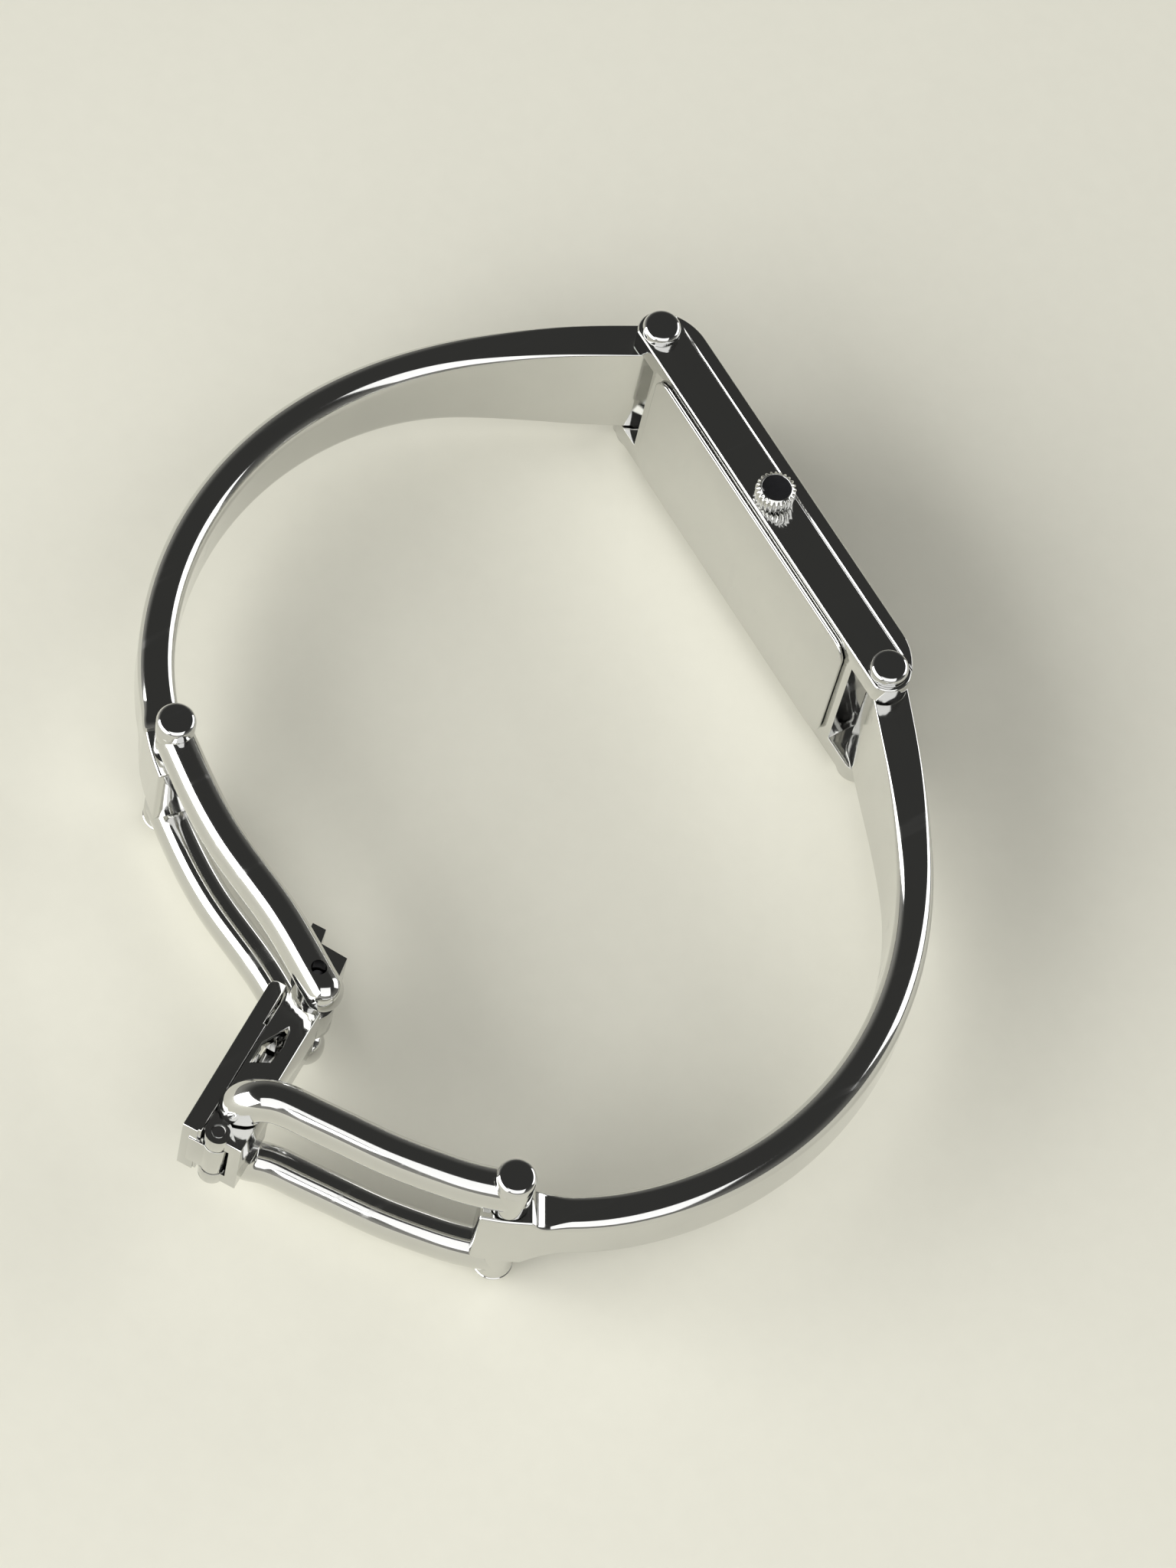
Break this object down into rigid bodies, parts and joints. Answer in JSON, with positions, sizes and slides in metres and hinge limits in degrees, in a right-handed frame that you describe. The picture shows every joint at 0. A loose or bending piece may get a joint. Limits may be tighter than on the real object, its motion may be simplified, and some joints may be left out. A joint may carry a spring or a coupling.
{
  "type": "bangle watch",
  "caption": "Slim steel bangle watch: long flat case, curved swinging arms, slotted links and a fold-over clasp",
  "frame": {"origin": "centre of the case back's outer face", "axes": "+X to twelve o'clock along the case, +Y out through the dial, +Z to the crown at three o'clock, along the hinge pins"},
  "size_m": [0.0686, 0.063, 0.0162],
  "materials": {
    "polished_steel": "polished",
    "inner_steel": "satin",
    "brass": "satin",
    "dial_finish": "satin",
    "hands_finish": "gloss",
    "sapphire": "gloss",
    "rubber_seal": "matte",
    "black_inset": "gloss",
    "board": "satin",
    "copper_wire": "satin"
  },
  "bodies": {
    "watch_head": {"case_middle": "polished_steel", "bezel": "polished_steel", "crystal": "sapphire", "crystal_gasket": "rubber_seal", "case_back": "polished_steel", "back_gasket": "rubber_seal", "dial": "dial_finish", "dial_ring": "inner_steel", "movement_plate": "brass", "train_bridge": "brass", "circuit_board": "board", "driver_chip": "black_inset", "quartz_can": "inner_steel", "battery": "inner_steel", "battery_strap": "inner_steel", "coil_core": "inner_steel", "coil": "copper_wire", "stator": "inner_steel", "crown_tube": "inner_steel", "hinge_pin_case_twelve": "polished_steel", "pin_cap_case_twelve": "polished_steel", "hinge_pin_case_six": "polished_steel", "pin_cap_case_six": "polished_steel"},
    "upper_arm": {"upper_arm": "polished_steel"},
    "lower_arm": {"lower_arm": "polished_steel"},
    "upper_link": {"upper_link": "polished_steel", "hinge_pin_link_twelve": "polished_steel", "pin_cap_link_twelve": "polished_steel"},
    "lower_link": {"lower_leg_crown_side": "polished_steel", "lower_leg_far_side": "polished_steel", "hinge_pin_link_six": "polished_steel", "pin_cap_link_six": "polished_steel", "clasp_pin": "inner_steel", "clasp_spacer_crown_side": "inner_steel", "clasp_spacer_far_side": "inner_steel"},
    "clasp_frame": {"clasp_frame": "polished_steel", "cover_pin": "inner_steel", "latch_spring": "inner_steel"},
    "clasp_cover": {"clasp_cover": "polished_steel"},
    "setting_slide": {"setting_lever": "inner_steel"},
    "crown": {"crown": "polished_steel", "crown_inset": "black_inset", "crown_gasket": "rubber_seal", "stem": "inner_steel"},
    "minute_train": {"centre_wheel": "brass", "minute_hand": "hands_finish"},
    "hour_train": {"hour_wheel": "brass", "hour_hand": "hands_finish"},
    "minute_wheel": {"minute_wheel": "brass"},
    "third_wheel": {"third_wheel": "brass"},
    "intermediate_wheel": {"intermediate_wheel": "brass"},
    "rotor": {"rotor": "inner_steel"}
  },
  "joints": [
    {"name": "upper_arm_swing", "type": "hinge", "parent": "watch_head", "child": "upper_arm", "pos_m": [0.01569, 0.0019, 0], "axis": [0, 0, 1], "range_deg": [-26, 13]},
    {"name": "lower_arm_swing", "type": "hinge", "parent": "watch_head", "child": "lower_arm", "pos_m": [-0.01569, 0.0019, 0], "axis": [0, 0, 1], "range_deg": [-21, 11]},
    {"name": "lower_link_swing", "type": "hinge", "parent": "lower_arm", "child": "lower_link", "pos_m": [-0.00328, -0.0452, 0], "axis": [0, 0, 1], "range_deg": [-13, 25]},
    {"name": "upper_link_swing", "type": "hinge", "parent": "upper_arm", "child": "upper_link", "pos_m": [0.03743, -0.04169, 0], "axis": [0, 0, 1], "range_deg": [-7, 14]},
    {"name": "clasp_fold", "type": "hinge", "parent": "lower_link", "child": "clasp_frame", "pos_m": [0.01741, -0.04549, 0], "axis": [0, 0, 1], "range_deg": [-39, 20]},
    {"name": "cover_open", "type": "hinge", "parent": "clasp_frame", "child": "clasp_cover", "pos_m": [0.02376, -0.05659, 0], "axis": [0, 0, 1], "range_deg": [0, 100]},
    {"name": "crown_pull", "type": "slide", "parent": "watch_head", "child": "setting_slide", "axis": [0, 0, 1], "range_m": [0, 0.0009]},
    {"name": "crown_turn", "type": "hinge", "parent": "setting_slide", "child": "crown", "pos_m": [0, 0.0019, 0.007], "axis": [0, 0, 1], "continuous": true},
    {"name": "minute_turn", "type": "hinge", "parent": "watch_head", "child": "minute_train", "pos_m": [0, 0.0019, 0], "axis": [0, 1, 0], "continuous": true},
    {"name": "hour_turn", "type": "hinge", "parent": "watch_head", "child": "hour_train", "pos_m": [0, 0.0019, 0], "axis": [0, 1, 0], "continuous": true},
    {"name": "minute_wheel_turn", "type": "hinge", "parent": "watch_head", "child": "minute_wheel", "pos_m": [0.00077, 0.0019, -0.00134], "axis": [0, 1, 0], "continuous": true},
    {"name": "third_wheel_turn", "type": "hinge", "parent": "watch_head", "child": "third_wheel", "pos_m": [-0.00197, 0.0019, -0.00072], "axis": [0, 1, 0], "continuous": true},
    {"name": "intermediate_wheel_turn", "type": "hinge", "parent": "watch_head", "child": "intermediate_wheel", "pos_m": [-0.00387, 0.0019, -0.00088], "axis": [0, 1, 0], "continuous": true},
    {"name": "rotor_turn", "type": "hinge", "parent": "watch_head", "child": "rotor", "pos_m": [-0.00586, 0.0019, -0.00071], "axis": [0, 1, 0], "continuous": true}
  ],
  "couplings": [
    {"joint": "lower_arm_swing", "follows": "upper_arm_swing", "ratio": 0.7982},
    {"joint": "lower_link_swing", "follows": "upper_arm_swing", "ratio": -0.9263},
    {"joint": "clasp_fold", "follows": "upper_arm_swing", "ratio": 1.4949},
    {"joint": "upper_link_swing", "follows": "upper_arm_swing", "ratio": -0.5238},
    {"joint": "hour_turn", "follows": "minute_turn", "ratio": 0.083333},
    {"joint": "minute_wheel_turn", "follows": "minute_turn", "ratio": -0.33333},
    {"joint": "third_wheel_turn", "follows": "minute_turn", "ratio": -5},
    {"joint": "intermediate_wheel_turn", "follows": "minute_turn", "ratio": 22.5},
    {"joint": "rotor_turn", "follows": "minute_turn", "ratio": -106.88}
  ]
}
